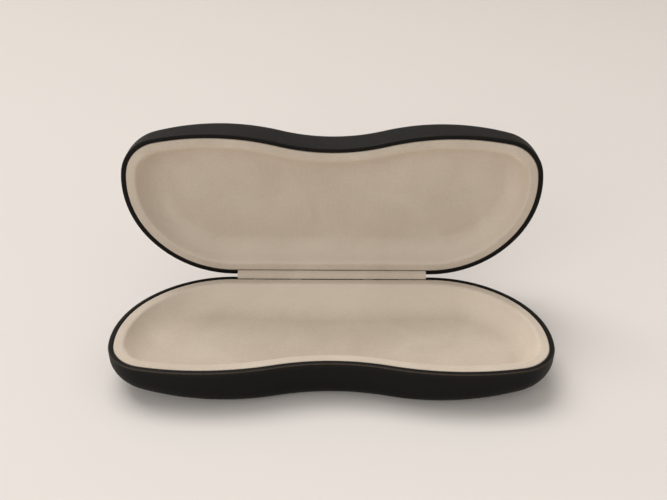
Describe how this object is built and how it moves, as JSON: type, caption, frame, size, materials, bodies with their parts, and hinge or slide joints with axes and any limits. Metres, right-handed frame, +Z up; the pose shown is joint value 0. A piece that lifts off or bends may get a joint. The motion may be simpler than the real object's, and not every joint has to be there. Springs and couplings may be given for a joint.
{
  "type": "eyeglasses case",
  "caption": "Open hard clam-shell eyeglasses case: black leatherette over waisted steel shells, beige cloth-lined trays, and a snap-hinged lid.",
  "frame": {"origin": "on the surface that the case stands on, under the middle of the base's plan; it is the middle of the base's flat resting face, front to back and side to side", "axes": "+X along the case, the viewer's right from the front; -Y towards the waisted front edge, +Y towards the hinge; +Z up"},
  "size_m": [0.1674, 0.0818, 0.0808],
  "materials": {
    "leatherette": "matte",
    "shell_steel": "satin",
    "foam": "matte",
    "tray_plastic": "matte",
    "lining_cloth": "matte",
    "hinge_steel": "satin",
    "rivet_aluminium": "satin",
    "spring_steel": "satin"
  },
  "bodies": {
    "base": {"base_cover": "leatherette", "base_shell": "shell_steel", "base_foam_pad": "foam", "base_liner_tray": "tray_plastic", "base_lining": "lining_cloth", "left_base_leaf": "hinge_steel", "right_base_leaf": "hinge_steel", "base_leaf_rivets": "rivet_aluminium", "left_hinge_pin": "hinge_steel", "right_hinge_pin": "hinge_steel", "snap_spring": "spring_steel", "hinge_cover_strip": "leatherette", "hinge_lining_strip": "lining_cloth"},
    "lid": {"lid_cover": "leatherette", "lid_shell": "shell_steel", "lid_liner_tray": "tray_plastic", "lid_lining": "lining_cloth", "left_lid_leaf": "hinge_steel", "right_lid_leaf": "hinge_steel", "lid_leaf_rivets": "rivet_aluminium"}
  },
  "joints": [
    {"name": "lid_hinge", "type": "hinge", "parent": "base", "child": "lid", "pos_m": [0, 0.03233, 0.01665], "axis": [1, 0, 0], "range_deg": [0, 90], "deforming": ["snap_spring", "hinge_cover_strip", "hinge_lining_strip"]}
  ]
}
